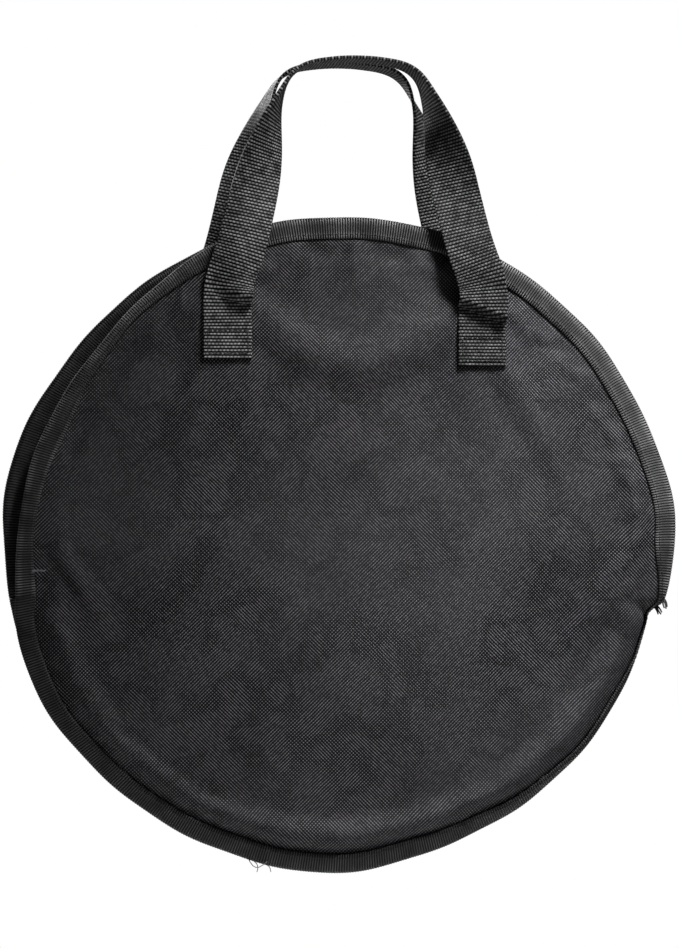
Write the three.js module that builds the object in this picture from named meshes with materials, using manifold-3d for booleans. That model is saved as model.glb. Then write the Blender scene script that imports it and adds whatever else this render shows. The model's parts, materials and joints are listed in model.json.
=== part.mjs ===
// A round padded carry bag for a handpan: two domed panels, a zip between them along the upper arc,
// and two webbing handles. Millimetres, +Z up, front face towards -Y. The origin is at the grip, the
// underside of the two handles' tops.

import * as THREE from 'three';
import { mergeVertices } from 'three/addons/utils/BufferGeometryUtils.js';
import Module from 'manifold-3d';

const wasm = await Module();
wasm.setup();

// Bag
const BAG_RADIUS = 200; // bag centre to the folded edge of the binding
const BAG_SHIFT = -6; // the front handle is sewn on this far right of the bag's centre
const GRIP_HEIGHT = 294; // bag centre to the grip
const SHELL_RISE = 16; // inner face of a panel above the middle plane, at the centre
const ZIP_HALF_WIDTH = 7; // half of the space between the two upper bindings
const FACET = 6; // degrees between the corners of every round piece
const ZIP_DROP = 9; // degrees that the zip ends lie below the bag's centre
const MERGE_DROP = 18; // degrees below the centre where the two panels' edges meet

// Plies
const GAP = 0.3; // between pieces that touch
const LINING = 0.8;
const FOAM = 5;
const FABRIC = 1.2;
const TAPE = 1.2; // binding
const ZIP_TAPE = 0.8;
const UNDER_LINING = TAPE + GAP + ZIP_TAPE + GAP; // binding and zip tape inside the lining
const OVER_LINING = LINING + GAP + FABRIC + GAP; // lining's inner face to the outer binding ply

// Radii
const BINDING_DEPTH = 13; // of each folded face
const PANEL_EDGE = BAG_RADIUS - 1.8;
const FLAT_EDGE = BAG_RADIUS - 14.5; // the panels run parallel from here outwards
const FOAM_EDGE = BAG_RADIUS - 24;
const FLAT_CENTRE = 55; // each panel is flat out to here
const RINGS = [FLAT_CENTRE, 100, 140, FOAM_EDGE, FLAT_EDGE, PANEL_EDGE];

// Zip
const COIL_FOOT = BAG_RADIUS - 14.2;
const COIL_HEIGHT = 2;
const COIL_INNER = 0.8; // middle plane to the near face of each coil
const COIL_WIDTH = 2.6;
const COIL_DROP = 5.5; // degrees below the centre where the coils end
const TACK_DROP = 4.5; // degrees below the centre of the stitched tacks
const SLIDER_LENGTH = 12;
const SLIDER_WIDTH = 8.4;
const SLIDER_PLATE = 1.2;
const SLIDER_TILT = 1.93; // degrees from the top of the bag to each slider's centre
const SLIDER_FLOOR = BAG_RADIUS - 17.4;
const SLIDER_ROOF = BAG_RADIUS - 11.3;
const PULL_AXIS = { x: 1.4, z: SLIDER_ROOF + SLIDER_PLATE + 1.05 };
const PULL_LENGTH = 18;

// Handles
const WEBBING_WIDTH = 29;
const WEBBING = 1.8; // thickness
const HANDLE_SPREAD = 77.5; // handle centre to the middle of each sewn end
const REAR_HANDLE_SHIFT = -5; // the rear handle is sewn on this far left of the front one
const SEWN_FOOT = 109; // height of a sewn end's lower edge above the bag's centre
const SEWN_HEAD = 151;
const SEWN_GAP = 0.4;
const STITCH = 0.4; // thickness of the stitching
const HANDLE_SPLIT = 0.5; // middle plane to the handle's edge at the grip
const FRONT = -1;
const REAR = 1;

const radians = THREE.MathUtils.degToRad;

// How far apart the two panels' edges are at an angle: 1 along the zip, 0 where they are sewn together.
function openness(angle) {
  const turned = THREE.MathUtils.euclideanModulo(angle + 90, 360) - 90;
  const drop = Math.max(-turned, turned - 180);
  return THREE.MathUtils.clamp(1 - drop / MERGE_DROP, 0, 1);
}

// Height of the lining's inner face above the middle plane, at the bag's edge.
function edgeHeight(angle) {
  return THREE.MathUtils.lerp(GAP / 2, ZIP_HALF_WIDTH + UNDER_LINING, openness(angle));
}

// Height of the lining's inner face: flat in the middle, then a parabola down to the edge.
function liningHeight(radius, angle) {
  const domed = THREE.MathUtils.clamp(radius, FLAT_CENTRE, FLAT_EDGE);
  const share = (domed ** 2 - FLAT_CENTRE ** 2) / (FLAT_EDGE ** 2 - FLAT_CENTRE ** 2);
  return THREE.MathUtils.lerp(SHELL_RISE, edgeHeight(angle), share);
}

// Height of the outer fabric's inner face: the foam lifts it off the lining up to the foam's edge.
function fabricHeight(radius, angle) {
  const padded = THREE.MathUtils.clamp((FLAT_EDGE - radius) / (FLAT_EDGE - FOAM_EDGE), 0, 1);
  return liningHeight(radius, angle) + LINING + GAP + (FOAM + GAP) * padded;
}

function polarPoint(radius, angle, y) {
  return new THREE.Vector3(radius * Math.cos(radians(angle)), y, radius * Math.sin(radians(angle)));
}

// A closed body from its corners and triangles, turned so that its faces point out.
function closedBody(points, triangles) {
  const volume = triangles.reduce((sum, [a, b, c]) => {
    const cross = new THREE.Vector3().crossVectors(points[b], points[c]);
    return sum + points[a].dot(cross);
  }, 0);
  const faces = volume < 0 ? triangles.map(([a, b, c]) => [a, c, b]) : triangles;
  const geometry = new THREE.BufferGeometry().setFromPoints(points);
  geometry.setIndex(faces.flat());
  geometry.computeVertexNormals();
  return geometry;
}

// A closed body swept through a list of sections, each a ring of corners in the same order.
function sweptBody(sections, capOutline) {
  const count = capOutline.length;
  const triangles = [];
  for (let s = 0; s + 1 < sections.length; s += 1) {
    for (let i = 0; i < count; i += 1) {
      const here = s * count + i;
      const next = s * count + ((i + 1) % count);
      triangles.push([here, next, next + count], [here, next + count, here + count]);
    }
  }
  const outline = capOutline.map(([u, v]) => new THREE.Vector2(u, v));
  const last = (sections.length - 1) * count;
  const turn = THREE.ShapeUtils.isClockWise(outline) ? -1 : 1;
  for (const [a, b, c] of THREE.ShapeUtils.triangulateShape(outline, [])) {
    const ring = turn > 0 ? [a, c, b] : [a, b, c];
    triangles.push(ring);
    triangles.push([ring[0] + last, ring[2] + last, ring[1] + last]);
  }
  return closedBody(sections.flat(), triangles);
}

// The angles at which every round piece has its corners, from one angle to another.
function cornerAngles(from, to) {
  const between = [];
  for (let angle = FACET * (Math.floor(from / FACET) + 1); angle < to - 1e-6; angle += FACET) {
    between.push(angle);
  }
  return [from, ...between, to];
}

// A piece that follows the bag's edge. outlineAt gives its section as [radius, height] corners.
function arcBody(from, to, side, outlineAt) {
  const sections = cornerAngles(from, to).map((angle) =>
    outlineAt(angle).map(([radius, height]) => polarPoint(radius, angle, side * height)),
  );
  return sweptBody(sections, outlineAt(from));
}

// One ply of a panel: a domed round between two heights.
function panelPly(side, rings, heightAt, thickness) {
  const angles = [...Array(360 / FACET).keys()].map((i) => i * FACET);
  const faces = [0, thickness].map((lift) => [
    new THREE.Vector3(0, side * (heightAt(0, 90) + lift), 0),
    ...rings.flatMap((r) => angles.map((a) => polarPoint(r, a, side * (heightAt(r, a) + lift)))),
  ]);
  const count = angles.length;
  const offset = faces[0].length;
  const triangles = [];
  const addPair = (a, b, c) => {
    triangles.push([a, b, c], [a + offset, c + offset, b + offset]);
  };
  for (let i = 0; i < count; i += 1) {
    const next = (i + 1) % count;
    addPair(0, 1 + i, 1 + next);
    for (let ring = 0; ring + 1 < rings.length; ring += 1) {
      const inner = 1 + ring * count;
      const outer = inner + count;
      addPair(inner + i, outer + i, outer + next);
      addPair(inner + i, outer + next, inner + next);
    }
    const rim = 1 + (rings.length - 1) * count;
    triangles.push([rim + i, rim + offset + i, rim + offset + next]);
    triangles.push([rim + i, rim + offset + next, rim + next]);
  }
  return closedBody(faces.flat(), triangles);
}

function toManifold(geometry) {
  const bare = geometry.clone();
  bare.deleteAttribute('normal');
  bare.deleteAttribute('uv');
  const merged = mergeVertices(bare, 1e-4);
  return new wasm.Manifold(
    new wasm.Mesh({
      numProp: 3,
      vertProperties: new Float32Array(merged.attributes.position.array),
      triVerts: new Uint32Array(merged.index.array),
    }),
  );
}

function fromManifold(manifold) {
  const mesh = manifold.getMesh();
  const geometry = new THREE.BufferGeometry();
  geometry.setAttribute('position', new THREE.BufferAttribute(mesh.vertProperties, 3));
  geometry.setIndex(new THREE.BufferAttribute(mesh.triVerts, 1));
  geometry.computeVertexNormals();
  return geometry;
}

// The front panel folds along the line between the zip's two ends.
const FOLD_HEIGHT = -BAG_RADIUS * Math.sin(radians(ZIP_DROP));

function cutAtFold(geometry, keepUpper) {
  const size = 2.5 * BAG_RADIUS;
  const box = new THREE.BoxGeometry(size, size, size);
  const edge = (size + GAP) / 2;
  box.translate(0, 0, FOLD_HEIGHT + (keepUpper ? edge : -edge));
  return fromManifold(toManifold(geometry).intersect(toManifold(box)));
}

const outerFabric = (side) => panelPly(side, RINGS, fabricHeight, FABRIC);
const lining = (side) => panelPly(side, RINGS, liningHeight, LINING);

function foam(side) {
  const rings = RINGS.filter((radius) => radius <= FOAM_EDGE);
  return panelPly(side, rings, (r, a) => liningHeight(r, a) + LINING + GAP, FOAM);
}

// The folded tape over one panel's edge and the zip tape, along the zip.
function upperBinding(side) {
  return arcBody(-ZIP_DROP, 180 + ZIP_DROP, side, (angle) => {
    const edge = edgeHeight(angle);
    const throat = BAG_RADIUS - BINDING_DEPTH;
    return [
      [throat, edge - UNDER_LINING],
      [BAG_RADIUS, edge - UNDER_LINING],
      [BAG_RADIUS, edge + OVER_LINING + TAPE],
      [throat, edge + OVER_LINING + TAPE],
      [throat, edge + OVER_LINING],
      [BAG_RADIUS - TAPE, edge + OVER_LINING],
      [BAG_RADIUS - TAPE, edge - UNDER_LINING + TAPE],
      [throat, edge - UNDER_LINING + TAPE],
    ];
  });
}

// The folded tape over both panels' edges, below the zip.
function lowerBinding() {
  const clear = 0.1; // degrees, the gap to the upper bindings
  return arcBody(180 + ZIP_DROP + clear, 360 - ZIP_DROP - clear, REAR, (angle) => {
    const inside = edgeHeight(angle) + OVER_LINING;
    const outside = inside + TAPE;
    const throat = BAG_RADIUS - BINDING_DEPTH;
    return [
      [throat, -outside],
      [BAG_RADIUS, -outside],
      [BAG_RADIUS, outside],
      [throat, outside],
      [throat, inside],
      [BAG_RADIUS - TAPE, inside],
      [BAG_RADIUS - TAPE, -inside],
      [throat, -inside],
    ];
  });
}

// A zip tape: one edge is held in the binding, the other runs across the gap and carries the coil.
function zipTape(side) {
  return arcBody(-ZIP_DROP, 180 + ZIP_DROP, side, (angle) => {
    const held = edgeHeight(angle) - GAP;
    const top = FLAT_EDGE;
    return [
      [top - ZIP_TAPE, COIL_INNER],
      [top, COIL_INNER],
      [top, held - ZIP_TAPE],
      [PANEL_EDGE, held - ZIP_TAPE],
      [PANEL_EDGE, held],
      [top - ZIP_TAPE, held],
    ];
  });
}

function zipCoil(side) {
  const chamfer = 0.6;
  const far = COIL_INNER + COIL_WIDTH;
  const head = COIL_FOOT + COIL_HEIGHT;
  return arcBody(-COIL_DROP, 180 + COIL_DROP, side, () => [
    [COIL_FOOT, COIL_INNER],
    [head - chamfer, COIL_INNER],
    [head, COIL_INNER + chamfer],
    [head, far - chamfer],
    [head - chamfer, far],
    [COIL_FOOT, far],
  ]);
}

function zipTack() {
  const tack = new THREE.BoxGeometry(2, 8, 0.8);
  tack.translate(0, 0, COIL_FOOT + COIL_HEIGHT + GAP + 0.4);
  return tack;
}

// A flat plate with the outline given in X and Y, from one height up.
function plate(outline, foot, thickness, holes = []) {
  const shape = new THREE.Shape(outline.map(([x, y]) => new THREE.Vector2(x, y)));
  for (const hole of holes) {
    shape.holes.push(new THREE.Path(hole.map(([x, y]) => new THREE.Vector2(x, y))));
  }
  const geometry = new THREE.ExtrudeGeometry(shape, { depth: thickness, bevelEnabled: false });
  return geometry.translate(0, 0, foot);
}

// A zip slider at the top of the bag, its wide end towards -X. Two plates, a divider and a bridge.
function zipSlider() {
  const half = SLIDER_LENGTH / 2;
  const wide = SLIDER_WIDTH / 2;
  const narrow = wide - 1;
  const outline = [
    [-half, -narrow], [-half + 1.5, -wide], [-1, -wide], [half - 1, -narrow], [half, -narrow + 1],
    [half, narrow - 1], [half - 1, narrow], [-1, wide], [-half + 1.5, wide], [-half, narrow],
  ];
  const overlap = 0.4;
  const floor = plate(outline, SLIDER_FLOOR, SLIDER_PLATE);
  const roof = plate(outline, SLIDER_ROOF, SLIDER_PLATE);
  const divider = new THREE.BoxGeometry(3, 1, SLIDER_ROOF - SLIDER_FLOOR);
  divider.translate(-half + 3, 0, (SLIDER_ROOF + SLIDER_FLOOR + SLIDER_PLATE) / 2);
  const arch = new THREE.Shape(
    [[-4, 0], [-2.8, 0], [-2.2, 2.5], [2.2, 2.5], [2.8, 0], [4, 0], [3, 3.6], [-3, 3.6]].map(
      ([x, z]) => new THREE.Vector2(x, z),
    ),
  );
  const bridge = new THREE.ExtrudeGeometry(arch, { depth: 2.4, bevelEnabled: false });
  bridge.rotateX(radians(90)).translate(0, 1.2, SLIDER_ROOF + SLIDER_PLATE - overlap);
  const pieces = [floor, roof, divider, bridge].map(toManifold);
  return fromManifold(pieces.reduce((whole, piece) => whole.add(piece)));
}

// A pull tab lying along +X, with the bar that turns under the slider's bridge.
function zipPull() {
  const bar = 1.2;
  const near = PULL_AXIS.x - bar / 2;
  const root = 4.8;
  const tip = root + PULL_LENGTH;
  const outline = [
    [near, -2.9], [root + 3, -2.9], [tip - 2, -2.4], [tip, -1.4],
    [tip, 1.4], [tip - 2, 2.4], [root + 3, 2.9], [near, 2.9],
  ];
  const slot = [[near + bar, -1.7], [root, -1.7], [root, 1.7], [near + bar, 1.7]];
  return plate(outline, PULL_AXIS.z - bar / 2, bar, [slot]);
}

// Outer face of the padded part of a panel, carried on past the foam's edge, as webbing bridges it.
function panelFace(x, z) {
  const angle = THREE.MathUtils.radToDeg(Math.atan2(z, x));
  return liningHeight(Math.hypot(x, z), angle) + LINING + GAP + FOAM + GAP + FABRIC;
}

// A thin solid lying on the panel, with its outline given by the corners [x, z].
function onPanel(side, corners, lift, thickness) {
  const sections = [lift, lift + thickness].map((level) =>
    corners.map(([x, z]) => new THREE.Vector3(x, side * (panelFace(x, z) + level), z)),
  );
  return sweptBody(sections, corners);
}

function rectangle(centreX, width, foot, head) {
  const [left, right] = [centreX - width / 2, centreX + width / 2];
  return [[left, foot], [right, foot], [right, head], [left, head]];
}

// X of a handle's middle, and of the middle of its left (-1) or right (+1) end, from the bag's centre.
const handleCentre = (side) => (side === REAR ? REAR_HANDLE_SHIFT : 0) - BAG_SHIFT;
const sewnCentre = (side, hand) => handleCentre(side) + hand * HANDLE_SPREAD;

function sewnEnd(side, hand) {
  const corners = rectangle(sewnCentre(side, hand), WEBBING_WIDTH, SEWN_FOOT, SEWN_HEAD);
  return onPanel(side, corners, SEWN_GAP, WEBBING);
}

// The box of stitches near the lower edge of a sewn end, as one closed line of thread.
function boxStitch(side, hand) {
  const line = 0.8;
  const [foot, head, width] = [SEWN_FOOT + 3, SEWN_FOOT + 17, WEBBING_WIDTH - 4];
  const outer = rectangle(sewnCentre(side, hand), width, foot, head);
  const inner = rectangle(sewnCentre(side, hand), width - 2 * line, foot + line, head - line);
  const rise = SEWN_GAP + WEBBING + GAP / 2;
  const whole = toManifold(onPanel(side, outer, rise, STITCH));
  const hole = toManifold(onPanel(side, inner, rise - 1, STITCH + 2));
  return fromManifold(whole.subtract(hole));
}

// Middle of the webbing's thickness where a handle leaves its sewn end, at the thicker one of the two.
const legDepth = panelFace(HANDLE_SPREAD + BAG_SHIFT, SEWN_HEAD) + SEWN_GAP + WEBBING / 2;

// A handle's free webbing: up from one sewn end, turned edge on with its front face down at the grip,
// and down to the other.
function handleWebbing(side) {
  const gripDepth = HANDLE_SPLIT + WEBBING_WIDTH / 2;
  const gripTop = GRIP_HEIGHT + WEBBING / 2;
  const leg = [
    [HANDLE_SPREAD, legDepth, SEWN_HEAD + GAP],
    [HANDLE_SPREAD, legDepth, SEWN_HEAD + 6],
    [68, legDepth + 0.6, 186],
    [56, legDepth, 236],
    [46, legDepth - 2, 270],
    [35, gripDepth + 0.4, gripTop - 6.5],
    [14, gripDepth, gripTop - 0.6],
  ];
  const left = leg.map(([x, y, z]) => new THREE.Vector3(-x, side * y, z));
  const right = leg.map(([x, y, z]) => new THREE.Vector3(x, side * y, z)).reverse();
  const curve = new THREE.CatmullRomCurve3([...left, ...right]);
  const steps = 36;
  const twistFoot = 195; // the webbing is flat to the front below this height
  const sections = curve.getSpacedPoints(steps).map((centre, i) => {
    const along = curve.getTangentAt(i / steps);
    const flat = new THREE.Vector3(0, side, 0);
    const outward = new THREE.Vector3(-along.z, 0, along.x).normalize();
    const rise = THREE.MathUtils.smoothstep(centre.z, twistFoot, gripTop - 3);
    const face = flat.multiplyScalar(Math.cos((rise * Math.PI) / 2));
    face.addScaledVector(outward, -Math.sin((rise * Math.PI) / 2));
    face.addScaledVector(along, -face.dot(along)).normalize();
    const across = new THREE.Vector3().crossVectors(along, face);
    return rectangle(0, WEBBING_WIDTH, -WEBBING / 2, WEBBING / 2).map(([u, v]) =>
      centre.clone().addScaledVector(across, u).addScaledVector(face, v),
    );
  });
  return sweptBody(sections, rectangle(0, WEBBING_WIDTH, -WEBBING / 2, WEBBING / 2));
}

const soft = (color, roughness) => new THREE.MeshStandardMaterial({ color, roughness, metalness: 0 });
const materials = {
  fabric: () => soft(0x222226, 0.8),
  foam: () => soft(0xd8d6cf, 0.95),
  lining: () => soft(0x1b1b1d, 0.7),
  binding: () => soft(0x1a1a1c, 0.7),
  webbing: () => soft(0x19191a, 0.75),
  thread: () => soft(0x2c2c2e, 0.6),
  coil: () => soft(0x101012, 0.4),
  metal: () => new THREE.MeshStandardMaterial({ color: 0x18181a, roughness: 0.35, metalness: 0.8 }),
};

const bag = new THREE.Group();

function add(name, geometry, material) {
  const mesh = new THREE.Mesh(geometry, materials[material]());
  mesh.name = name;
  bag.add(mesh);
  return mesh;
}

add('rear_outer_fabric', outerFabric(REAR), 'fabric');
add('rear_foam', foam(REAR), 'foam');
add('rear_lining', lining(REAR), 'lining');
add('front_flap_outer_fabric', cutAtFold(outerFabric(FRONT), true), 'fabric');
add('front_flap_foam', cutAtFold(foam(FRONT), true), 'foam');
add('front_flap_lining', cutAtFold(lining(FRONT), true), 'lining');
add('front_lower_outer_fabric', cutAtFold(outerFabric(FRONT), false), 'fabric');
add('front_lower_foam', cutAtFold(foam(FRONT), false), 'foam');
add('front_lower_lining', cutAtFold(lining(FRONT), false), 'lining');
add('lower_binding', lowerBinding(), 'binding');

for (const [place, side] of [['front', FRONT], ['rear', REAR]]) {
  add(`${place}_binding`, upperBinding(side), 'binding');
  add(`${place}_zip_tape`, zipTape(side), 'webbing');
  add(`${place}_zip_coil`, zipCoil(side), 'coil');
  for (const [hand, sign] of [['left', -1], ['right', 1]]) {
    add(`${place}_${hand}_sewn_end`, sewnEnd(side, sign), 'webbing');
    add(`${place}_${hand}_box_stitch`, boxStitch(side, sign), 'thread');
  }
  add(`${place}_handle`, handleWebbing(side), 'webbing').position.x = handleCentre(side);
}

for (const [hand, sign] of [['left', -1], ['right', 1]]) {
  const turn = radians(SLIDER_TILT);
  const facing = sign < 0 ? Math.PI : 0;
  const slider = zipSlider().rotateZ(facing).rotateY(sign * turn);
  add(`${hand}_zip_slider`, slider, 'metal');
  add(`${hand}_zip_pull`, zipPull().rotateZ(facing).rotateY(sign * turn), 'metal');
  const tack = add(`${hand}_zip_tack`, zipTack(), 'thread');
  tack.rotation.y = sign * radians(90 + TACK_DROP);
}

bag.position.set(BAG_SHIFT, 0, -GRIP_HEIGHT);
const model = new THREE.Group();
model.add(bag);
export default model;
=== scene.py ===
# A round padded carry bag for a handpan, hanging from its two webbing handles. Metres, +Z up, front
# face towards -Y. Each soft piece stands for the plain CAD solids of the same part.

import json
import math

import bpy
import numpy as np
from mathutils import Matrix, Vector


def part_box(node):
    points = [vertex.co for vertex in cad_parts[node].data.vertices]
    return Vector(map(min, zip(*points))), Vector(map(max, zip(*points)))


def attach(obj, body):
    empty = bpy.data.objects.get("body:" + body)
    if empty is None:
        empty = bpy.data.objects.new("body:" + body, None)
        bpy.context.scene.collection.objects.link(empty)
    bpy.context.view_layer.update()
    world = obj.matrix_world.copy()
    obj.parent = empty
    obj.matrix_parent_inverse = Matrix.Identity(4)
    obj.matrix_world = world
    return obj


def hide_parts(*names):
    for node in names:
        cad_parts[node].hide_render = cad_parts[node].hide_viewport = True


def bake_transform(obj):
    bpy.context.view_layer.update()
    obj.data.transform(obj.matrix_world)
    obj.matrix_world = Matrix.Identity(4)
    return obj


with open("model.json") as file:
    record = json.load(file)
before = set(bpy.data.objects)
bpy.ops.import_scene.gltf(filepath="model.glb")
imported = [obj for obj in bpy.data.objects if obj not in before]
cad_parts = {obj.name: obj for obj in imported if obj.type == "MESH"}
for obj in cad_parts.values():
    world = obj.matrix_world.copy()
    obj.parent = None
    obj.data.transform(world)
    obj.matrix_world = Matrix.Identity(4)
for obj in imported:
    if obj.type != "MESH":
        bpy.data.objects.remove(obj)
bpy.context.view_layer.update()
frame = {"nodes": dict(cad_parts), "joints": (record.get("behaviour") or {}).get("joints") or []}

JOINTS = {joint["name"]: joint for joint in frame["joints"]}

MM = 0.001
FRONT = -1
REAR = 1
PLACES = {FRONT: "front", REAR: "rear"}

# The bag's round, from the frame
RIM_LOW, RIM_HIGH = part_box("rear_binding")
RADIUS = (RIM_HIGH.x - RIM_LOW.x) / 2
CENTRE = Vector(((RIM_HIGH.x + RIM_LOW.x) / 2, 0, RIM_HIGH.z - RADIUS))
FOLD = Vector(JOINTS["flap_fold"]["pos_m"])
ZIP_DROP = math.degrees(math.asin((CENTRE.z - FOLD.z) / RADIUS))
MERGE_DROP = 2 * ZIP_DROP  # degrees below the centre where the two panels' edges meet

# Plies
GAP = 0.3 * MM
LINING = 0.8 * MM
FABRIC = 1.2 * MM
TAPE = 1.2 * MM
ZIP_TAPE = 0.8 * MM
SHELL_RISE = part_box("rear_lining")[1].y - LINING
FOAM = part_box("rear_foam")[1].y - SHELL_RISE - LINING - GAP
UNDER_LINING = TAPE + GAP + ZIP_TAPE + GAP
OVER_LINING = LINING + GAP + FABRIC + GAP
ZIP_HALF_WIDTH = 7 * MM

# Radii
BINDING_DEPTH = 13 * MM
PANEL_EDGE = RADIUS - 1.8 * MM
FLAT_EDGE = RADIUS - 14.5 * MM
FOAM_EDGE = RADIUS - 24 * MM
FLAT_CENTRE = 55 * MM
EDGE_START = RADIUS - 21 * MM  # the panels' edges turn from here outwards
EDGE_ARC = 10 * MM  # and take this far to do it

# How far the panels' edges turn, in degrees
UPPER_BEND = 10  # along the zip: more would stand in the way of the sliders and their pulls
LOWER_BEND = 24
ROLLED_BEND = 46  # more than that where the slack edge rolls in at the lower right

# Zip
COIL_FOOT = RADIUS - 14.2 * MM
COIL_HEIGHT = 2 * MM
COIL_DROP = 5.5  # degrees below the centre where the coils end
TOOTH_PITCH = 1.7 * MM
TOOTH_WIRE = 0.42 * MM

# Handles
WEBBING_WIDTH = 29 * MM
WEBBING = 1.8 * MM
SEWN_GAP = 0.4 * MM
SEWN_LOW, SEWN_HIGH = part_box("front_right_sewn_end")
SEWN_FOOT = SEWN_LOW.z - CENTRE.z
SEWN_HEAD = SEWN_HIGH.z - CENTRE.z
HANDLE_SPREAD = (SEWN_LOW.x + SEWN_HIGH.x) / 2
LEFT_HEM_RISE = 4 * MM  # the left end is folded under this much higher than the right one
GRIP_HEIGHT = -CENTRE.z

# Weaves
ROW = 2.2 * MM  # one row of webbing
DOTS = 13  # yarns across the webbing
RIB = 1.6 * MM  # one rib of the binding
FACE_MIDDLE = 5.5 * MM  # fold of the binding to the middle of its outer face
YARN = 1.1 * MM  # one yarn of the outer fabric


# ---------------------------------------------------------------- curves and fields


def smooth(value, start, end):
    """0 before start, 1 after end, easing in between."""
    share = np.clip((value - start) / (end - start), 0, 1)
    return share * share * (3 - 2 * share)


def bump(angle, centre, spread):
    """1 at the centre angle, falling smoothly to 0 at spread degrees to either side."""
    away = np.abs((angle - centre + 180) % 360 - 180) / spread
    return 0.5 + 0.5 * np.cos(np.pi * np.clip(away, 0, 1))


def unit(vectors):
    """The vectors with their lengths made 1."""
    return vectors / np.linalg.norm(vectors, axis=-1, keepdims=True)


def grid(*fields):
    """Fields of numbers as one field of points."""
    return np.stack(np.broadcast_arrays(*fields), axis=-1)


def distances(points, axis=0):
    """How far along its line of points each point lies."""
    steps = np.linalg.norm(np.diff(points, axis=axis), axis=-1)
    start = np.zeros_like(steps.take([0], axis=axis))
    return np.concatenate([start, np.cumsum(steps, axis=axis)], axis=axis)


def spline(points, count):
    """A smooth curve through the given points, as count points spaced evenly along it."""
    points = np.asarray(points, float)
    padded = np.concatenate([2 * points[:1] - points[1:2], points, 2 * points[-1:] - points[-2:-1]])
    place = np.linspace(0, len(points) - 1, 40 * len(points))
    at = np.minimum(place.astype(int), len(points) - 2)
    t = (place - at)[:, None]
    a, b, c, d = (padded[at + i] for i in range(4))
    square = 2 * a - 5 * b + 4 * c - d
    cube = 3 * (b - c) + d - a
    curve = 0.5 * (2 * b + (c - a) * t + square * t**2 + cube * t**3)
    length = distances(curve)
    even = np.linspace(0, length[-1], count)
    return np.stack([np.interp(even, length, curve[:, k]) for k in range(curve.shape[1])], axis=1)


def doubled(field):
    """The same field on a grid twice as fine along the first axis, by the four-point rule."""
    ends = np.concatenate([2 * field[:1] - field[1:2], field, 2 * field[-1:] - field[-2:-1]])
    fine = np.empty((2 * len(field) - 1, *field.shape[1:]))
    fine[::2] = field
    fine[1::2] = (9 * (field[:-1] + field[1:]) - ends[:-3] - ends[3:]) / 16
    return fine


# ---------------------------------------------------------------- the bag's shape


def rim_shift(angle, side):
    """How far the soft edge of a panel lies outside the true round."""
    turned = np.asarray(angle) % 360
    slack = drawn_in(turned)
    # the lower left hangs out
    shift = 5 * MM * bump(turned, 206, 30)
    # the right hangs out down to the end of the zip, and is drawn in below it
    shift += (4.6 * MM * bump(turned, 2, 24) + 1.6 * MM * bump(turned, 17, 22)) * (1 - slack)
    shift -= (6 * MM * smooth(turned, 266, 298) - 1 * MM * bump(turned, 318, 20)) * slack
    # small waves all round
    shift += 0.45 * MM * np.sin(np.radians(11 * turned + 40))
    shift += 0.3 * MM * np.sin(np.radians(23 * turned + 75 * side))
    # at the left the two edges part
    if side == REAR:
        shift += 7.2 * MM * bump(turned, 169, 36)
    else:
        shift -= 8.5 * MM * bump(turned, 140, 34) + 3.4 * MM * bump(turned, 170, 22)
    return shift


def drawn_in(turned):
    """1 from the zip's right end down to the bottom, where the slack edge rolls in, and 0 elsewhere."""
    return (turned > 180) * smooth(-turned, -350.4, -347)


def openness(angle):
    """How far apart the panels' edges are: 1 along the zip, 0 where they are sewn together."""
    turned = (np.asarray(angle) + 90) % 360 - 90
    drop = np.maximum(-turned, turned - 180)
    return np.clip(1 - drop / MERGE_DROP, 0, 1)


def edge_height(angle, side):
    """Height of the lining's inner face above the middle plane, at the bag's edge."""
    open_height = ZIP_HALF_WIDTH + UNDER_LINING
    wave = 0.35 * MM * np.sin(np.radians(6 * angle + 50 * side))
    return GAP / 2 + (open_height - GAP / 2 + wave) * openness(angle)


def lining_height(radius, angle, side):
    """Height of the lining's inner face: flat in the middle, then a parabola down to the edge."""
    domed = np.clip(radius, FLAT_CENTRE, FLAT_EDGE)
    share = (domed**2 - FLAT_CENTRE**2) / (FLAT_EDGE**2 - FLAT_CENTRE**2)
    return SHELL_RISE + (edge_height(angle, side) - SHELL_RISE) * share


def fabric_height(radius, angle, side):
    """Height of the outer fabric's inner face: the foam lifts it off the lining."""
    padded = 1 - smooth(radius, FOAM_EDGE - 3 * MM, FLAT_EDGE)
    return lining_height(radius, angle, side) + LINING + GAP + (FOAM + GAP) * padded


def panel_face(x, z, side):
    """Outer face of a panel's padded part at a place in the frame, carried on past the foam's edge."""
    away = np.hypot(x - CENTRE.x, z - CENTRE.z)
    angle = np.degrees(np.arctan2(z - CENTRE.z, x - CENTRE.x))
    return lining_height(away, angle, side) + LINING + GAP + FOAM + GAP + FABRIC


def edge_bend(angle, side):
    """How far a panel's edge turns out of the front plane, in radians: towards the rear above 0."""
    turned = np.asarray(angle) % 360
    lower = LOWER_BEND + 10 * bump(turned, 215, 40) + 12 * bump(turned, 344, 14)
    lower = lower + ROLLED_BEND * smooth(turned, 278, 324) * drawn_in(turned)
    share = openness(angle)
    return np.radians(-side * UPPER_BEND * share + lower * (1 - smooth(share, 0.2, 0.6)))


def binding_face(angle, side):
    """Height of the binding's outer face, at the bag's edge."""
    return edge_height(angle, side) + OVER_LINING + TAPE


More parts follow.
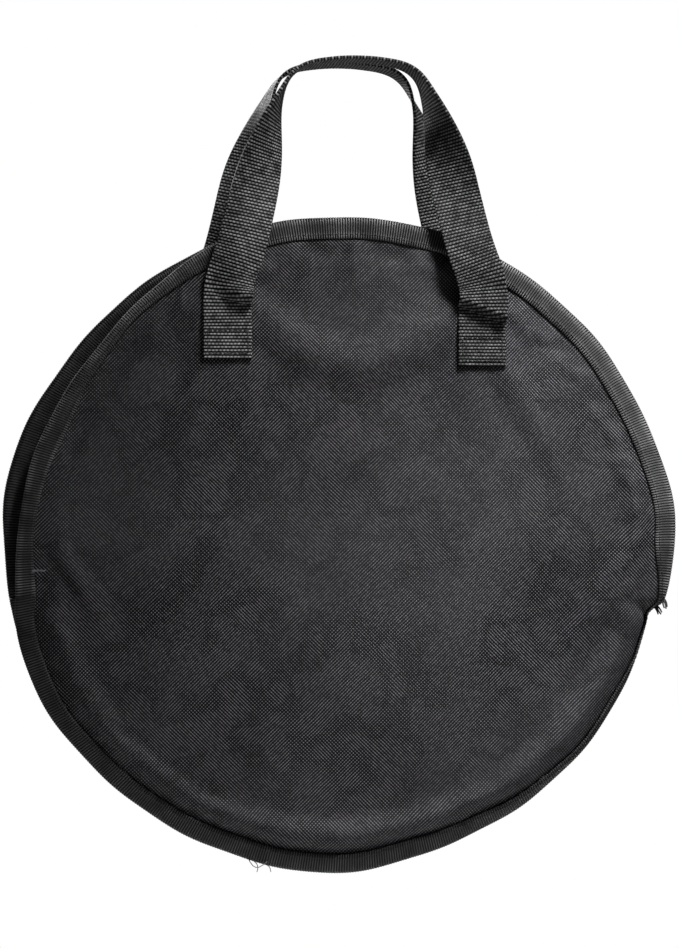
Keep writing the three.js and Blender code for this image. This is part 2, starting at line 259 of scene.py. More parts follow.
def bent_edge(radius, angle, depth, side):
    """Radius and depth of points near the edge once it has turned, with the rim as far out as before."""
    bend = edge_bend(angle, side)
    bend = np.where(np.abs(bend) < 1e-3, 1e-3, bend)
    middle = side * openness(angle) * (ZIP_HALF_WIDTH + (UNDER_LINING + OVER_LINING + TAPE) / 2)
    past = np.maximum(radius - EDGE_START, 0)
    arc = np.minimum(past, EDGE_ARC)
    straight = past - arc
    heading = bend * arc / EDGE_ARC
    curl = EDGE_ARC / bend
    whole = curl * np.sin(bend) + (RADIUS - EDGE_START - EDGE_ARC) * np.cos(bend)
    outward = curl * np.sin(heading) + straight * np.cos(bend)
    back = curl * (1 - np.cos(heading)) + straight * np.sin(bend)
    level = depth - middle
    grown = np.minimum(radius, EDGE_START) + outward - level * np.sin(heading)
    grown = grown + RADIUS - EDGE_START - whole
    return grown, middle + back + level * np.cos(heading)


def place(radius, angle, height, side, follow=None):
    """Points of the bag from polar places. follow is how much of the soft edge's form each one takes."""
    if follow is None:
        follow = np.clip(radius / EDGE_START, 0, 1) ** 4
    depth = side * height
    bent_radius, bent_depth = bent_edge(radius, angle, depth, side)
    grown = radius + (bent_radius + rim_shift(angle, side) - radius) * follow
    turn = np.radians(angle)
    x = CENTRE.x + grown * np.cos(turn)
    z = CENTRE.z + grown * np.sin(turn)
    return grid(x, depth + (bent_depth - depth) * follow, z)


# ---------------------------------------------------------------- meshes


def mesh_piece(name, points, faces, material, uv=None):
    """A mesh object. uv has one place for each point, in metres of cloth."""
    mesh = bpy.data.meshes.new(name)
    mesh.from_pydata(points.tolist(), [], faces)
    mesh.polygons.foreach_set("use_smooth", [True] * len(mesh.polygons))
    if uv is not None:
        corners = np.empty(len(mesh.loops), np.int32)
        mesh.loops.foreach_get("vertex_index", corners)
        mesh.uv_layers.new(name="cloth").data.foreach_set("uv", uv[corners].ravel())
    mesh.materials.append(material)
    piece = bpy.data.objects.new(name, mesh)
    bpy.context.scene.collection.objects.link(piece)
    return piece


def quads_of(index):
    """The quads of a grid of point numbers."""
    corners = [index[:-1, :-1], index[1:, :-1], index[1:, 1:], index[:-1, 1:]]
    return np.stack(corners, axis=-1).reshape(-1, 4)


def slab(name, top, foot, uv, material):
    """A closed sheet between two grids of points."""
    rows, columns = top.shape[:2]
    points = np.concatenate([top.reshape(-1, 3), foot.reshape(-1, 3)])
    index = np.arange(rows * columns).reshape(rows, columns)
    quads = quads_of(index)
    border = np.concatenate([index[0, :-1], index[:-1, -1], index[-1, :0:-1], index[:0:-1, 0]])
    after = np.roll(border, -1)
    walls = np.stack([border, after, after + index.size, border + index.size], axis=1)
    faces = np.concatenate([quads, quads[:, ::-1] + index.size, walls])
    centre = points.mean(axis=0)
    a, b, c = (points[faces[:, i]] - centre for i in range(3))
    if np.einsum("ij,ij->i", a, np.cross(b, c)).sum() < 0:
        faces = faces[:, ::-1]
    flat = uv.reshape(-1, 2)
    return mesh_piece(name, points, faces.tolist(), material, np.concatenate([flat, flat]))


def thickened(middle, thickness, relief):
    """The two faces of a sheet, from its middle surface and the height of its weave."""
    normal = unit(np.cross(np.gradient(middle, axis=0), np.gradient(middle, axis=1)))
    reach = (thickness / 2 + relief)[..., None] * normal
    return middle + reach, middle - reach


AWAY = np.array([0.31, 0.9, 0.27])  # a direction that no tube runs along


def tubes(name, paths, radii, material, sides=6):
    """Many closed tubes in one piece. paths has one row of points for each tube."""
    paths = np.asarray(paths, float)
    count, steps = paths.shape[:2]
    along = unit(np.gradient(paths, axis=1))
    across = unit(np.cross(along, AWAY))
    third = np.cross(along, across)
    turn = np.linspace(0, 2 * np.pi, sides, endpoint=False)
    rim = across[..., None, :] * np.cos(turn)[:, None] + third[..., None, :] * np.sin(turn)[:, None]
    points = paths[..., None, :] + rim * np.asarray(radii).reshape(1, -1, 1, 1)
    index = np.arange(count * steps * sides).reshape(count, steps, sides)
    nearby = np.roll(index, -1, axis=2)
    walls = np.stack([index[:, :-1], nearby[:, :-1], nearby[:, 1:], index[:, 1:]], axis=-1)
    faces = walls.reshape(-1, 4).tolist()
    faces += index[:, 0, ::-1].tolist() + index[:, -1].tolist()
    uv = grid(distances(paths, axis=1)[..., None], turn * np.mean(radii))
    return mesh_piece(name, points.reshape(-1, 3), faces, material, uv.reshape(-1, 2))


def stitches(name, line, material, stitch=3.2 * MM, thread=0.27 * MM):
    """A row of stitches along a line of points: each one rises out of the cloth and dips back into it."""
    line = np.asarray(line)
    count = max(2, round(distances(line)[-1] / stitch))
    steps = 5
    fine = spline(line, count * steps + 1)
    rows = [fine[i * steps : i * steps + steps] for i in range(count)]
    return tubes(name, rows, thread * np.array([0.35, 0.9, 1, 0.9, 0.35]), material)


# ---------------------------------------------------------------- shader building


class Shader:
    """A material's node tree, with short ways to add and join nodes."""

    def __init__(self, name):
        self.material = bpy.data.materials.new(name)
        self.material.use_nodes = True
        self.tree = self.material.node_tree
        self.finish = self.tree.nodes["Principled BSDF"]

    def feed(self, socket, value):
        if isinstance(value, bpy.types.NodeSocket):
            self.tree.links.new(value, socket)
        else:
            socket.default_value = value

    def add(self, kind, settings=(), **inputs):
        node = self.tree.nodes.new("ShaderNode" + kind)
        for key, value in dict(settings).items():
            setattr(node, key, value)
        for key, value in inputs.items():
            self.feed(node.inputs[key.replace("_", " ")], value)
        return node

    def math(self, operation, first, second=0.0):
        node = self.add("Math", {"operation": operation})
        self.feed(node.inputs[0], first)
        self.feed(node.inputs[1], second)
        return node.outputs[0]

    def sum(self, first, second):
        return self.math("ADD", first, second)

    def times(self, first, second):
        return self.math("MULTIPLY", first, second)

    def span(self, value, low, high, to_low=0.0, to_high=1.0):
        """The value's range low to high, turned into another range and held there."""
        node = self.add("MapRange", Value=value)
        for socket, number in zip(list(node.inputs)[1:5], (low, high, to_low, to_high)):
            self.feed(socket, number)
        return node.outputs[0]

    def position(self):
        return self.add("TexCoord").outputs["Object"]

    def noise(self, scale, detail=2.0):
        """Soft noise, with scale in cells per metre."""
        return self.add("TexNoise", Vector=self.position(), Scale=scale, Detail=detail).outputs[0]

    def cloth(self):
        """The two distances along the cloth, in metres."""
        split = self.add("SeparateXYZ", Vector=self.add("UVMap", {"uv_map": "cloth"}).outputs[0])
        return split.outputs[0], split.outputs[1]

    def wave(self, distance, pitch):
        """-1 to 1, with a half turn in each pitch."""
        return self.math("SINE", self.times(distance, math.pi / pitch))

    def ridges(self, distance, pitch):
        """0 to 1, with one ridge in each pitch."""
        return self.math("ABSOLUTE", self.wave(distance, pitch))

    def patchy(self, scale, low, high, detail=2.0):
        """Soft patches between two values."""
        return self.span(self.noise(scale, detail), 0.3, 0.7, low, high)

    def colour(self, share, dark, light):
        """A colour between two, by a share from 0 to 1."""
        node = self.add("Mix", {"data_type": "RGBA"})
        self.feed(node.inputs[0], share)
        self.feed(node.inputs[6], (*dark, 1))
        self.feed(node.inputs[7], (*light, 1))
        return node.outputs[2]

    def bumps(self, height, depth, strength=1.0):
        """Normals from a height field that is depth metres high."""
        return self.add("Bump", Height=height, Distance=depth, Strength=strength).outputs[0]

    def done(self, colour, roughness, normal, specular=0.5, **others):
        """The finished material. others holds plain values for more inputs of the surface."""
        self.feed(self.finish.inputs["Base Color"], colour)
        self.feed(self.finish.inputs["Roughness"], roughness)
        self.feed(self.finish.inputs["Normal"], normal)
        self.finish.inputs["Specular IOR Level"].default_value = specular
        for key, value in others.items():
            self.finish.inputs[key.replace("_", " ")].default_value = value
        return self.material


# ---------------------------------------------------------------- materials


def fabric_material():
    """Coated oxford: a plain weave of thick yarns, one way glossier than the other, slightly uneven, with
    a painted sheen on the yarns and painted shade between them.
    """
    look = Shader("oxford_fabric")
    drift = look.times(look.sum(look.noise(34), -0.5), 1.6 * YARN)
    u, v = look.cloth()
    moved = look.sum(drift, YARN / 2)
    rising = look.wave(look.sum(look.sum(u, v), moved), YARN)
    falling = look.wave(look.sum(look.math("SUBTRACT", u, v), moved), YARN)
    lean = look.span(look.noise(31, 1), 0.42, 0.58)
    other_way = look.math("SUBTRACT", 1.0, lean)
    tilted = look.sum(look.times(rising, lean), look.times(falling, other_way))
    both = look.times(rising, falling)
    weave = look.sum(look.times(tilted, 0.62), look.times(both, 0.38))
    patches = look.span(look.noise(19, 3), 0.32, 0.68, 0.84, 1.14)
    slubs = look.patchy(420, 0.6, 1.4, 1)
    # painted sheen on the yarns and painted shade in the gaps: the weave drives the colour
    woven = look.times(look.span(weave, 0.0, 0.8), slubs)
    coated = look.span(look.noise(8, 2), 0.35, 0.62, 0.76, 1.08)
    share = look.sum(look.times(look.sum(woven, -0.3), coated), 0.3)
    colour = look.colour(look.times(share, patches), (0.0018, 0.0018, 0.0022), (0.25, 0.246, 0.268))
    rough = look.patchy(60, 0.56, 0.74, 3)
    normal = look.bumps(look.times(weave, weave), 0.12 * MM, 0.7)
    return look.done(colour, rough, normal, specular=0.22)


def lining_material():
    """Thin taffeta: a fine flat weave with a soft shine."""
    look = Shader("taffeta_lining")
    u, v = look.cloth()
    fine = 0.45 * MM
    weave = look.times(look.wave(u, fine), look.wave(v, fine))
    # painted crease shading: soft lighter and darker patches in the colour
    creases = look.span(look.noise(28, 4), 0.35, 0.65, 0.6, 1.3)
    share = look.times(look.span(weave, -1, 1), creases)
    colour = look.colour(share, (0.012, 0.012, 0.014), (0.050, 0.050, 0.056))
    rough = look.patchy(50, 0.5, 0.66)
    normal = look.bumps(look.sum(look.times(weave, 0.1), look.noise(90, 3)), 0.6 * MM, 0.5)
    return look.done(colour, rough, normal, specular=0.28)


def foam_material():
    """Closed-cell foam: pale, matt and full of small pores."""
    look = Shader("padding_foam")
    cells = look.add("TexVoronoi", Vector=look.position(), Scale=620.0).outputs["Distance"]
    pores = look.span(cells, 0.1, 0.6)
    share = look.times(pores, look.patchy(25, 0.7, 1.0, 3))
    colour = look.colour(share, (0.46, 0.45, 0.42), (0.74, 0.73, 0.69))
    rough = look.span(pores, 0, 1, 0.95, 0.85)
    return look.done(colour, rough, look.bumps(pores, 0.3 * MM, 0.8), specular=0.2)


def binding_material():
    """Grosgrain tape: ribs across it with a painted shine along their tops, paler along the fold and the
    cut edge than across the middle of its face.
    """
    look = Shader("grosgrain_binding")
    u, v = look.cloth()
    rib = look.ridges(u, RIB)
    threads = look.ridges(v, 0.5 * MM)
    uneven = look.patchy(70, 0.35, 1.25, 3)
    from_middle = look.math("ABSOLUTE", look.sum(v, -FACE_MIDDLE))
    # paler along the fold and the cut edge, darker across the middle of the outer face
    dimmed = look.span(from_middle, 2.2 * MM, 5.2 * MM, 0.35, 1.0)
    outside = look.span(v, -2.5 * MM, -0.5 * MM, 0.3, 1.0)  # painted shade: the face turned to the zip is darkened, for the shadow the front casts on it
    # painted shine: the rib tops are lighter in colour than the gaps between them
    ribbed = look.times(look.span(rib, 0.6, 1.0), uneven)
    # worn holds the thread lines, the darker middle of the outer face and the painted shade on the face
    # turned to the zip
    worn = look.times(look.span(threads, 0, 1, 0.7, 1.0), look.times(dimmed, outside))
    share = look.times(ribbed, worn)
    colour = look.colour(share, (0.002, 0.002, 0.0022), (0.40, 0.40, 0.403))
    rough = look.patchy(120, 0.42, 0.62)
    return look.done(colour, rough, look.bumps(rib, 0.2 * MM, 0.6), specular=0.3)


def webbing_material():
    """Heavy webbing: rows of plump yarns, with painted glints on their crowns and painted shade in the
    gaps.
    """
    look = Shader("woven_webbing")
    u, v = look.cloth()
    row = look.ridges(v, ROW)
    odd = look.math("MODULO", look.math("FLOOR", look.times(v, 1 / ROW)), 2.0)
    column = WEBBING_WIDTH / DOTS
    moved = look.sum(u, look.times(odd, column / 2))
    dot = look.ridges(moved, column)
    # the crowns drive the bump, and the colour too: a painted glint on each crown, painted shade in the
    # gaps
    crown = look.times(look.span(row, 0.55, 0.97), look.span(dot, 0.3, 1.0, 0.25, 1.0))
    uneven = look.patchy(240, 0.35, 1.35)
    sideways = look.add("SeparateXYZ", Vector=look.position()).outputs[0]
    dimmed = look.span(sideways, 0.0, 70 * MM, 1.0, 0.48)  # painted shade: the colour darkens towards the right leg, which turns away from the light
    share = look.times(look.times(crown, uneven), dimmed)
    colour = look.colour(share, (0.0014, 0.0014, 0.0016), (0.58, 0.58, 0.58))
    rough = look.patchy(150, 0.40, 0.6)
    fibres = look.ridges(u, 0.28 * MM)
    height = look.sum(crown, look.times(fibres, 0.15))
    return look.done(colour, rough, look.bumps(height, 0.25 * MM, 0.6), specular=0.17)


def zip_tape_material():
    """Zip tape: a tight herringbone."""
    look = Shader("zip_tape_cloth")
    u, v = look.cloth()
    zig = look.math("PINGPONG", v, 1.5 * MM)
    twill = look.ridges(look.sum(u, zig), 0.7 * MM)
    share = look.times(twill, look.patchy(80, 0.6, 1.2))
    colour = look.colour(share, (0.006, 0.006, 0.007), (0.055, 0.055, 0.058))
    rough = look.patchy(90, 0.6, 0.8)
    return look.done(colour, rough, look.bumps(twill, 0.12 * MM, 0.6), specular=0.35)


def coil_material():
    """Moulded nylon, a little scuffed."""
    look = Shader("zip_coil_nylon")
    scuff = look.span(look.noise(300, 3), 0.4, 0.75)
    colour = look.colour(scuff, (0.008, 0.008, 0.009), (0.045, 0.045, 0.047))
    rough = look.span(scuff, 0, 1, 0.28, 0.5)
    return look.done(colour, rough, look.bumps(scuff, 0.03 * MM), specular=0.5)


def metal_material():
    """Black enamelled zinc, worn to bare metal in fine marks."""
    look = Shader("enamelled_zinc")
    wear = look.span(look.noise(520, 5), 0.62, 0.72)
    grime = look.span(look.noise(130, 3), 0.35, 0.65)
    colour = look.colour(wear, (0.012, 0.012, 0.013), (0.32, 0.31, 0.30))
    rough = look.span(grime, 0, 1, 0.24, 0.46)
    height = look.sum(look.times(wear, -0.5), look.times(grime, 0.3))
    return look.done(colour, rough, look.bumps(height, 0.05 * MM), Metallic=0.8)


def thread_material():
    """Twisted polyester thread."""
    look = Shader("sewing_thread")
    u, v = look.cloth()
    twist = look.ridges(look.sum(u, v), 0.45 * MM)
    share = look.times(twist, look.patchy(200, 0.6, 1.2))
    colour = look.colour(share, (0.006, 0.006, 0.0065), (0.05, 0.05, 0.052))
    rough = look.span(twist, 0, 1, 0.6, 0.45)
    return look.done(colour, rough, look.bumps(twist, 0.08 * MM, 0.7), specular=0.4)


def loose_thread_material():
    """The same thread where it has frayed: paler and fluffier."""
    look = Shader("frayed_thread")
    fluff = look.span(look.noise(900, 3), 0.3, 0.7)
    colour = look.colour(fluff, (0.13, 0.13, 0.135), (0.36, 0.36, 0.365))
    rough = look.span(fluff, 0, 1, 0.6, 0.8)
    return look.done(colour, rough, look.bumps(fluff, 0.08 * MM, 0.7), specular=0.3)


def floor_material():
    look = Shader("pale_floor")
    tone = look.span(look.noise(1.5, 2), 0.3, 0.7)
    colour = look.colour(tone, (0.86, 0.86, 0.86), (0.90, 0.90, 0.90))
    rough = look.span(tone, 0, 1, 0.7, 0.8)
    normal = look.bumps(look.noise(60, 2), 0.2 * MM, 0.2)
    return look.done(colour, rough, normal, Emission_Color=(1, 1, 1, 1), Emission_Strength=0.42)


MATERIALS = {
    "fabric": fabric_material(),
    "foam": foam_material(),
    "lining": lining_material(),
    "binding": binding_material(),
    "webbing": webbing_material(),
    "zip_tape": zip_tape_material(),
    "coil": coil_material(),
    "metal": metal_material(),
    "thread": thread_material(),
    "loose": loose_thread_material(),
}


# ---------------------------------------------------------------- panels


SIM_RINGS = 36
SWELL_CAP = 5 * MM
SETTLING_STEPS = 24
SAG = 0.35  # share of the cloth's weight that its padding doesn't carry
CLOTH = {
    "quality": 6,
    "mass": 0.25,
    "tension_stiffness": 25,
    "compression_stiffness": 25,
    "shear_stiffness": 8,
    "bending_stiffness": 4,
    "vertex_group_mass": "held",
    "shrink_min": -0.006,
    "use_pressure": True,
    "uniform_pressure_force": 2.0,
}


def ring_radii(count):
    """Radii of a round sheet's rings, closer together towards the edge."""
    share = np.linspace(0, 1, count + 1)
    return PANEL_EDGE * (1 - (1 - share) ** 1.35)


def disc_grid(radii):
    """Radius and angle of each point of a round sheet: a square grid whose square rings are circles."""
    half = len(radii) - 1
    steps = np.arange(-half, half + 1)
    a, b = np.meshgrid(steps, steps, indexing="ij")
    wide = np.abs(a) >= np.abs(b)
    lower = np.where(wide, np.where(a == 0, 1, a), b)
    upper = np.where(wide, b, a)
    within = 45 * upper / lower
    angle = np.where(wide, within, 90 - within) + np.where(lower < 0, 180, 0)
    return radii[np.maximum(np.abs(a), np.abs(b))], angle


def sewn_down(points, side):
    """Where the panel is held by the binding or by a sewn end of the handle."""
    away = np.hypot(points[..., 0] - CENTRE.x, points[..., 2] - CENTRE.z)
    held = away > FLAT_EDGE - 2 * MM
    for hand in ("left", "right"):
        low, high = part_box(f"{PLACES[side]}_{hand}_sewn_end")
        beside = (points[..., 0] > low.x) & (points[..., 0] < high.x)
        held |= beside & (points[..., 2] > low.z) & (points[..., 2] < high.z)
    return held


def cloth_settled(start, held, side):
    """The sheet's points once its padding has swelled and its weight has settled."""
    index = np.arange(start[..., 0].size).reshape(start.shape[:2])
    quads = quads_of(index if side == REAR else index.T)
    piece = mesh_piece("settling_sheet", start.reshape(-1, 3), quads.tolist(), None)
    group = piece.vertex_groups.new(name="held")
    group.add(index[held].tolist(), 1.0, "REPLACE")
    settings = piece.modifiers.new("cloth", "CLOTH").settings
    for name, value in CLOTH.items():
        setattr(settings, name, value)
    settings.effector_weights.gravity = SAG
    for step in range(SETTLING_STEPS):
        bpy.context.scene.frame_set(step + 1)
    settled = piece.evaluated_get(bpy.context.evaluated_depsgraph_get()).data
    moved = np.empty(start.size)
    settled.vertices.foreach_get("co", moved)
    bpy.context.scene.frame_set(1)
    bpy.data.objects.remove(piece)
    return moved.reshape(start.shape)


def settling(side):
    """How far each point of a panel moves as it settles, on the fine grid."""
    radius, angle = disc_grid(ring_radii(SIM_RINGS))
    start = place(radius, angle, fabric_height(radius, angle, side) + FABRIC, side)
    moved = np.zeros_like(start)
    moved = cloth_settled(start, sewn_down(start, side), side) - start
    reach = np.linalg.norm(moved, axis=2, keepdims=True)
    moved *= np.minimum(1, SWELL_CAP / np.maximum(reach, 1e-9))
    return doubled(doubled(moved).swapaxes(0, 1)).swapaxes(0, 1)


# Short creases that start at the binding: angle, inner radius, width at the binding, rise.
CREASES = [
    (88, 128 * MM, 9 * MM, 1.5 * MM),
    (84, 150 * MM, 6 * MM, -0.8 * MM),
    (99, 158 * MM, 7 * MM, 0.8 * MM),
    (241, 150 * MM, 12 * MM, -1.6 * MM),
    (247, 158 * MM, 8 * MM, 1.0 * MM),
    (176, 146 * MM, 9 * MM, 1.2 * MM),
    (187, 152 * MM, 10 * MM, -1.2 * MM),
    (12, 150 * MM, 10 * MM, 0.8 * MM),
    (322, 156 * MM, 11 * MM, 1.0 * MM),
]


def puckers(radius, angle, side):
    """Height of the small gathers beside the binding, and of the few longer creases."""
    near = smooth(radius, FOAM_EDGE - 26 * MM, FLAT_EDGE - 4 * MM)
    near = near * (1 - smooth(radius, FLAT_EDGE - 2 * MM, FLAT_EDGE + 3 * MM))
    turn = np.radians(angle)
    gathers = np.sin(37 * turn + 2 * side) * (0.6 + 0.4 * np.sin(5 * turn + 1))
    gathers = gathers + 0.6 * np.sin(61 * turn + 4 * np.sin(3 * turn))
    height = 0.35 * MM * near * gathers
    for heading, inner, width, rise in CREASES if side == FRONT else CREASES[::3]:
        along = smooth(radius, inner, FLAT_EDGE - 6 * MM)
        along = along * (1 - smooth(radius, FLAT_EDGE - 3 * MM, FLAT_EDGE + 2 * MM))
        beside = ((angle - heading + 180) % 360 - 180) * np.pi / 180 * radius
        height = height + rise * along * np.exp(-((beside / (width * (1.3 - 0.6 * along))) ** 2))
    return height


def panel_ply(name, side, moved, foot, thickness, edge, material):
    """One ply of a panel. foot gives the height of its inner face."""
    radii = ring_radii(2 * SIM_RINGS)
    half = len(radii) - 1
    kept = int(np.searchsorted(radii, edge + 1e-9)) - 1
    window = slice(half - kept, half + kept + 1)
    radius, angle = disc_grid(radii[: kept + 1])
    shift = moved[window, window] + [0, side, 0] * puckers(radius, angle, side)[..., None]
    inner = place(radius, angle, foot(radius, angle, side), side) + shift
    uv = inner[..., [0, 2]]
    return slab(name, inner + [0, side * thickness, 0], inner, uv, material)


def ride_front(piece):
    """Bakes a front panel piece's transform into its mesh."""
    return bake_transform(piece)


PANEL_BODIES = {FRONT: "front_panel", REAR: "bag"}


def finish_piece(piece, body, slot, *nodes):
    """Rides a piece on a body, or bakes a front panel piece in place, and hides the CAD nodes it stands
    for; the slot is not used.
    """
    if body == "front_panel":
        ride_front(piece)
    else:
        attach(piece, body)
    if nodes:
        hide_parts(*nodes)
    return piece


def foam_height(radius, angle, side):
    return lining_height(radius, angle, side) + LINING + GAP


# Plies of a panel: name, slot and CAD node, height of the inner face, thickness, radius, material.
PLIES = [
    ("cloth", "outer_fabric", fabric_height, FABRIC, PANEL_EDGE, "fabric"),
    ("padding", "foam", foam_height, FOAM, FOAM_EDGE, "foam"),
    ("lining", "lining", lining_height, LINING, PANEL_EDGE, "lining"),
]


def make_panel(side):
    """Outer fabric, foam and lining of one panel, which settle together."""
    moved = settling(side)
    parts = ["front_flap", "front_lower"] if side == FRONT else ["rear"]
    for ply, slot, foot, thickness, edge, material in PLIES:
        name = f"{PLACES[side]}_panel_{ply}"
        piece = panel_ply(name, side, moved, foot, thickness, edge, MATERIALS[material])
        nodes = [f"{part}_{slot}" for part in parts]
        finish_piece(piece, PANEL_BODIES[side], slot, *nodes)


# ---------------------------------------------------------------- bindings


FOLD_CORNER = 2.4 * MM
FACE_POINTS = 5
ARC_POINTS = 4
BRIDGE_POINTS = 3
SEAM_INSET = 2.4 * MM  # cut edge of the binding to its stitches
SEAM_DEPTH = 0.2 * MM
RIB_HEIGHT = 0.18 * MM


def fold_section():
    """The middle line of a tape folded over an edge: depth inside the rim, and height off its own face."""
    face = np.linspace(BINDING_DEPTH, FOLD_CORNER, FACE_POINTS)
    turn = np.linspace(0, np.pi / 2, ARC_POINTS)[1:]
    depth = np.concatenate([face, FOLD_CORNER * (1 - np.sin(turn))])
    inset = np.concatenate([np.zeros(FACE_POINTS), FOLD_CORNER * (1 - np.cos(turn))])
    return depth, inset


def beside_panel(side):
    """Where the points of an upper binding go."""
    return lambda radius, angle, height: place(radius, angle, height, side, follow=1.0)


def around_both(radius, angle, height):
    """Where the points of the lower binding go: from the front panel's edge round to the rear one's."""
    front = place(radius, angle, -height, FRONT, follow=1.0)
    rear = place(radius, angle, height, REAR, follow=1.0)
    share = smooth(height, -binding_face(angle, FRONT) / 2, binding_face(angle, REAR) / 2)
    return front + (rear - front) * share[..., None]


def face_width(angle, side):
    """How wide a binding shows on the outer face of a panel: round the front it is sewn on unevenly."""
    if side == REAR:
        return BINDING_DEPTH + 0 * angle
    taken = 6.5 * MM * bump(angle, 134, 30)
    taken = taken + 3.5 * MM * bump(angle, 176, 20)
    taken = taken + 9 * MM * bump(angle, 348, 14)
    return BINDING_DEPTH - taken


def widened(depth, width):
    """The section's depths with its flat part made as wide as asked at each angle."""
    flat = np.maximum(depth - FOLD_CORNER, 0)
    return depth + flat * ((width - FOLD_CORNER) / (BINDING_DEPTH - FOLD_CORNER) - 1)


def ribbed_angles(start, end):
    """Three steps for each rib of a binding, from one angle to another."""
    ribs = round(math.radians(end - start) * RADIUS / RIB)
    return np.linspace(start, end, 3 * ribs + 1)[:, None]


def binding(name, angles, placed, low, high, sides):
    """A ribbed tape folded over the bag's edge: its two outer faces lie at the heights low and high."""
    depth, inset = fold_section()
    low = low + TAPE / 2 + inset
    high = high - TAPE / 2 - inset[::-1]
    bridge = low[:, -1:] + (high[:, :1] - low[:, -1:]) * np.linspace(0, 1, BRIDGE_POINTS + 2)[1:-1]
    first, second = (face_width(angles, side) for side in sides)
    rim = np.zeros((len(angles), BRIDGE_POINTS))
    depths = np.concatenate([widened(depth, first), rim, widened(depth[::-1], second)], axis=1)
    heights = np.concatenate([low, bridge, high], axis=1)
    middle = placed(RADIUS - TAPE / 2 - depths, angles, heights)
    half = depths.shape[1] // 2
    inside = np.concatenate([first - depths[:, :half], second - depths[:, half:]], axis=1)
    along = np.radians(angles - angles[0]) * RADIUS
    return ribbed_tape(name, middle, along, inside - SEAM_INSET)


def ribbed_tape(name, middle, along, from_seam):
    """The tape itself, with its ribs and the groove that its seam pulls in."""
    across = distances(middle, axis=1)
    from_fold = across - across[:, -FACE_POINTS - 1 : -FACE_POINTS]
    groove = SEAM_DEPTH * np.exp(-((from_seam / (0.7 * MM)) ** 2))
    ribs = RIB_HEIGHT * np.cos(2 * np.pi * along / RIB)
    top, foot = thickened(middle, TAPE, ribs - groove)
    return slab(name, top, foot, grid(along + RIB / 2, from_fold), MATERIALS["binding"])


def binding_seam(name, start, end, side, body):
    """Stitches along a binding, on its outer face."""
    angles = np.linspace(start, end, 180)
    radius = RADIUS - TAPE / 2 - face_width(angles, side) + SEAM_INSET
    line = place(radius, angles, binding_face(angles, side), side, follow=1.0)
    finish_piece(stitches(name, line, MATERIALS["thread"]), body, "thread")


def make_upper_binding(side):
    where = PLACES[side]
    body = PANEL_BODIES[side]
    start, end = -ZIP_DROP, 180 + ZIP_DROP
    angles = ribbed_angles(start, end)
    low = edge_height(angles, side) - UNDER_LINING
    high = binding_face(angles, side)
    tape = binding(f"{where}_edge_tape", angles, beside_panel(side), low, high, (REAR, side))
    finish_piece(tape, body, "binding", f"{where}_binding")
    binding_seam(f"{where}_edge_seam", start, end, side, body)


def make_lower_binding():
    clear = 0.1  # degrees between it and the ends of the upper bindings
    start, end = 180 + ZIP_DROP + clear, 360 - ZIP_DROP - clear
    angles = ribbed_angles(start, end)
    low = -binding_face(angles, FRONT)
    high = binding_face(angles, REAR)
    tape = binding("lower_edge_tape", angles, around_both, low, high, (FRONT, REAR))
    finish_piece(tape, "bag", "binding", "lower_binding")
    for side in (FRONT, REAR):
        binding_seam(f"lower_{PLACES[side]}_seam", start, end, side, "bag")


def curled(radius, angle, side, height, length, turn, sag):
    """A short loose thread: it leaves a place on the bag's edge, heads off at an angle and sags."""
    steps = np.linspace(0, 1, 7)[:, None]
    root = place(np.array([radius]), np.array([angle]), np.array([height]), side, follow=1.0)[0]
    heading = np.radians(turn)
    ahead = np.array([np.cos(heading), 0.25 * side, np.sin(heading)])
    bow = np.array([-np.sin(heading), 0, np.cos(heading)])
    return root + ahead * length * steps + bow * sag * np.sin(np.pi * steps)


# Loose threads on the front: inset from the rim, angle, lift off the edge, length, heading, sag.
FRAYED_ENDS = [  # two tufts where the front binding stops at the right
    (1.3 * MM, -9.6, 0.1 * MM, 4.8 * MM, -74, 0.4 * MM),
    (1.8 * MM, -9.7, 0.3 * MM, 5.6 * MM, -78, 0.3 * MM),
    (2.2 * MM, -9.8, 0.1 * MM, 4.9 * MM, -81, -0.3 * MM),
    (1.6 * MM, -11.0, 0.1 * MM, 4.6 * MM, -58, 0.3 * MM),
    (2.0 * MM, -11.1, 0.3 * MM, 5.4 * MM, -62, -0.3 * MM),
    (2.4 * MM, -11.3, 0.1 * MM, 4.7 * MM, -66, 0.3 * MM),
]
STRAYS = [
    (2 * MM, 253.2, -TAPE, 12 * MM, -12, -5 * MM),
    (1 * MM, 254.4, -TAPE, 7 * MM, -75, 1.5 * MM),
    (1 * MM, 256.4, -TAPE, 6 * MM, -52, 1.2 * MM),
    (10.4 * MM, 184.5, 1.1 * MM, 8.2 * MM, 1, 0.3 * MM),
    (10.4 * MM, 184.7, 1.1 * MM, 7.6 * MM, 2, 0.3 * MM),
]


def make_loose_threads(name, threads, radius, material):
    """Short ends of thread that stand off the edge of the front."""
    paths = []
    for inset, angle, lift, length, heading, sag in threads:
        height = binding_face(angle, FRONT) + lift
        paths.append(curled(RADIUS - inset, angle, FRONT, height, length, heading, sag))
    piece = tubes(name, paths, radius * np.linspace(1, 0.7, 7), material)
    finish_piece(piece, "front_panel", "thread")


# ---------------------------------------------------------------- zip


